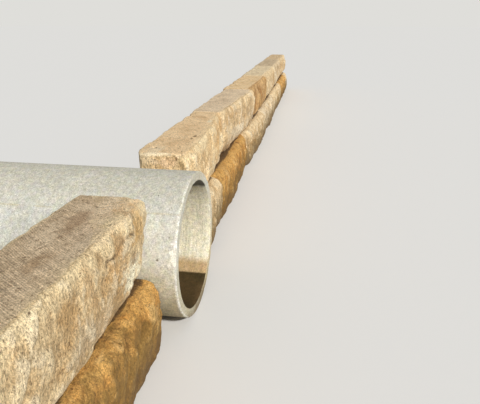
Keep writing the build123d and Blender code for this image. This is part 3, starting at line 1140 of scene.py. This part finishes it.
# %% Coats of the seams, the mouth and the grain
def seams_and_pale_patch(f, colour):
    """Two of the mould's lines, a green band above the lower one, and a near-white patch beside the mouth.
    """
    for at, width, strength, line in ((SEAMS[0], 0.016, 0.5, "warm"), (SEAMS[1], 0.008, 0.6, "light")):
        near = f.mask(f.off_angle(at), width, width * 0.3, strength)
        colour = f.coat(colour, line, f.both(near, f.mask(f.clouds, 0.4, 0.55), f.off_bore))
    patchy = f.mask(f.noise(f.loose, 14.0, 5.0, 0.7), 0.42, 0.6)
    colour = f.coat(colour, "green", f.both(f.mask(f.off_angle(GREEN_BAND), 0.07, 0.03, 0.5), patchy))
    frayed = f.noise(f.loose, 30.0, 6.0, 0.7)
    return f.coat(colour, "lime", f.blotch(f.place, PALE_PATCH_CENTRE, PALE_PATCH_SIZE, 1.0, frayed))


def mouth_marks(f, colour):
    """The mouth's ring greyer on the left and ochre to the right, a painted highlight on its outer arris on
    the sun's side, and painted shade in the pinholes.
    """
    ring = f.both(f.mask(f.y, 0.012, 0.004), f.off_bore, f.mask(f.clouds, 0.35, 0.55))
    colour = f.coat(colour, "dust", f.both(ring, f.mask(f.x, 0.30, 0.05, 0.65)))
    colour = f.coat(colour, "ring", f.both(ring, f.mask(f.x, 0.0, 0.35, 0.45)))
    # painted highlight: the outer arris on the -X side, where the sun strikes it
    out = f.vector("LENGTH", f.vector("MULTIPLY", f.place, (1.0, 0.0, 1.0)))
    at_edge = f.mask(out, BARREL_RADIUS - 0.016, BARREL_RADIUS - 0.006)
    arris = f.both(f.mask(f.y, 0.022, 0.008), at_edge, f.mask(f.x, 0.0, -0.3))
    patchy = f.mask(f.noise(f.loose, 22.0, 6.0, 0.7), 0.38, 0.58, 0.55)
    colour = f.coat(colour, "lime", f.both(arris, patchy))
    # painted shade in each pinhole
    for at, depth, radius in PINHOLES:
        turn = math.radians(at)
        spot = (-BARREL_RADIUS * math.sin(turn), depth, BARREL_RADIUS * math.cos(turn))
        colour = f.coat(colour, "pinhole", f.blotch(f.place, spot, (radius * 1.3,) * 3, 0.9))
    return colour


def cement_grain(f, colour, pores):
    """Two sizes of grain, a faint tint that wanders, pores painted darker as shade in them, and soil at the
    foot.
    """
    colour = f.shaded(colour, f.noise(f.place, 34.0, 6.0, 0.95), 2.0)
    colour = f.shaded(colour, f.noise(f.place, 110.0, 3.0, 0.95), 2.0)
    tint = f.vector("MULTIPLY_ADD", f.coloured(f.place, 26.0), (0.16, 0.10, 0.34), (0.92, 0.95, 0.83))
    # painted shade: the pores darker, in the damp colour
    colour = f.coat(f.vector("MULTIPLY", colour, tint), "damp", pores)
    return f.coat(colour, "soil", f.mask(f.cloudy(f.z, 0.3), -0.22, -0.34, 0.6))


def concrete(node):
    """The pipe's finish, coat by coat, with a bump for its sandy skin and its pores."""
    f = Cast(node + "_cast", CEMENT)
    colour = water_marks(f, f.coat(barrel(f), bore(f), f.bore))
    colour = mouth_marks(f, seams_and_pale_patch(f, colour))
    patchy = f.mask(f.noise(f.place, 7.0, 2.0), 0.5, 0.6, 0.6)
    pores = f.both(f.mask(f.specks(f.place, 55.0), 0.14, 0.05), patchy)
    colour = cement_grain(f, colour, pores)
    normal = f.relief(f.noise(f.place, 90.0, 4.0, 0.62), 0.0022)
    normal = f.relief(f.mask(pores, 0.0, 0.6, -1.0), 0.002, normal)
    return f.done(colour, f.cloudy(0.58, 0.4), normal, gloss=0.15)


pipe.data.materials.append(concrete("concrete_pipe"))
print("finish of the pipe:", len(pipe.data.materials[0].node_tree.nodes), "nodes")

# %% [markdown]
# The set is a pale floor under plain light: a sun that comes low over the photographer's shoulder, as in
# the photograph, and an even sky that fills its shadows. Together they show a colour about as written.
# The eye sees a paler floor and backdrop than those that light the object.

# %% Floor and light
FLOOR_SEEN = (236, 235, 233)
FLOOR_LIT = (206, 205, 202)  # the floor for the light that it throws back
BACKDROP = (223, 222, 218)
SKY = (240, 246, 252)
SKY_POWER = 0.34
SUNLIGHT = (1.0, 0.97, 0.92)
SUN_POWER = 3.1
SUN_HEIGHT = 36.0            # degrees above level
SUN_TURN = -43.8             # where its light goes: from +Y towards +X
SUN_WIDTH = 4.0              # in degrees, for soft edges of shadows


def seen_directly(nodes, links):
    """1 for rays that show a thing to the camera, straight, mirrored or through glass, 0 for others."""
    path = nodes.new("ShaderNodeLightPath")
    seen = path.outputs["Is Camera Ray"]
    for ray in ("Is Glossy Ray", "Is Transmission Ray"):
        node = nodes.new("ShaderNodeMath")
        node.operation = "MAXIMUM"
        links.new(seen, node.inputs[0])
        links.new(path.outputs[ray], node.inputs[1])
        seen = node.outputs[0]
    return seen


def lay_floor():
    """A plane far wider than the view, at the height that the object stands on."""
    bpy.ops.mesh.primitive_plane_add(size=400, location=(0, 0, floor_z))
    floor = bpy.context.object
    floor.name = "floor"
    f = Finish("floor_paint", {"lit": FLOOR_LIT, "seen": FLOOR_SEEN})
    colour = f.coat("lit", "seen", seen_directly(f.nodes, f.links))
    floor.data.materials.append(f.done(colour, 1.0, gloss=0.0))


def spread_sky():
    """An even sky for the light, and a plain backdrop for the eye."""
    world = bpy.data.worlds.new("sky")
    world.use_nodes = True
    nodes, links = world.node_tree.nodes, world.node_tree.links
    sky, backdrop = nodes["Background"], nodes.new("ShaderNodeBackground")
    sky.inputs["Color"].default_value = tone(*SKY)
    sky.inputs["Strength"].default_value = SKY_POWER
    backdrop.inputs["Color"].default_value = tone(*BACKDROP)
    choice = nodes.new("ShaderNodeMixShader")
    links.new(seen_directly(nodes, links), choice.inputs[0])
    links.new(sky.outputs[0], choice.inputs[1])
    links.new(backdrop.outputs[0], choice.inputs[2])
    links.new(choice.outputs[0], nodes["World Output"].inputs["Surface"])
    bpy.context.scene.world = world


def hang_sun():
    """A sun lamp shines along -Z, so it is tipped by 90 - SUN_HEIGHT and turned by SUN_TURN."""
    data = bpy.data.lights.new("sun", "SUN")
    data.energy = SUN_POWER
    data.color = SUNLIGHT
    data.angle = math.radians(SUN_WIDTH)
    sun = bpy.data.objects.new("sun", data)
    sun.rotation_euler = (math.radians(90 - SUN_HEIGHT), 0.0, math.radians(SUN_TURN))
    bpy.context.scene.collection.objects.link(sun)


lay_floor()
spread_sky()
hang_sun()
bpy.context.scene.view_settings.view_transform = "Standard"
print("sun", SUN_POWER, "and sky", SKY_POWER)

# %% [markdown]
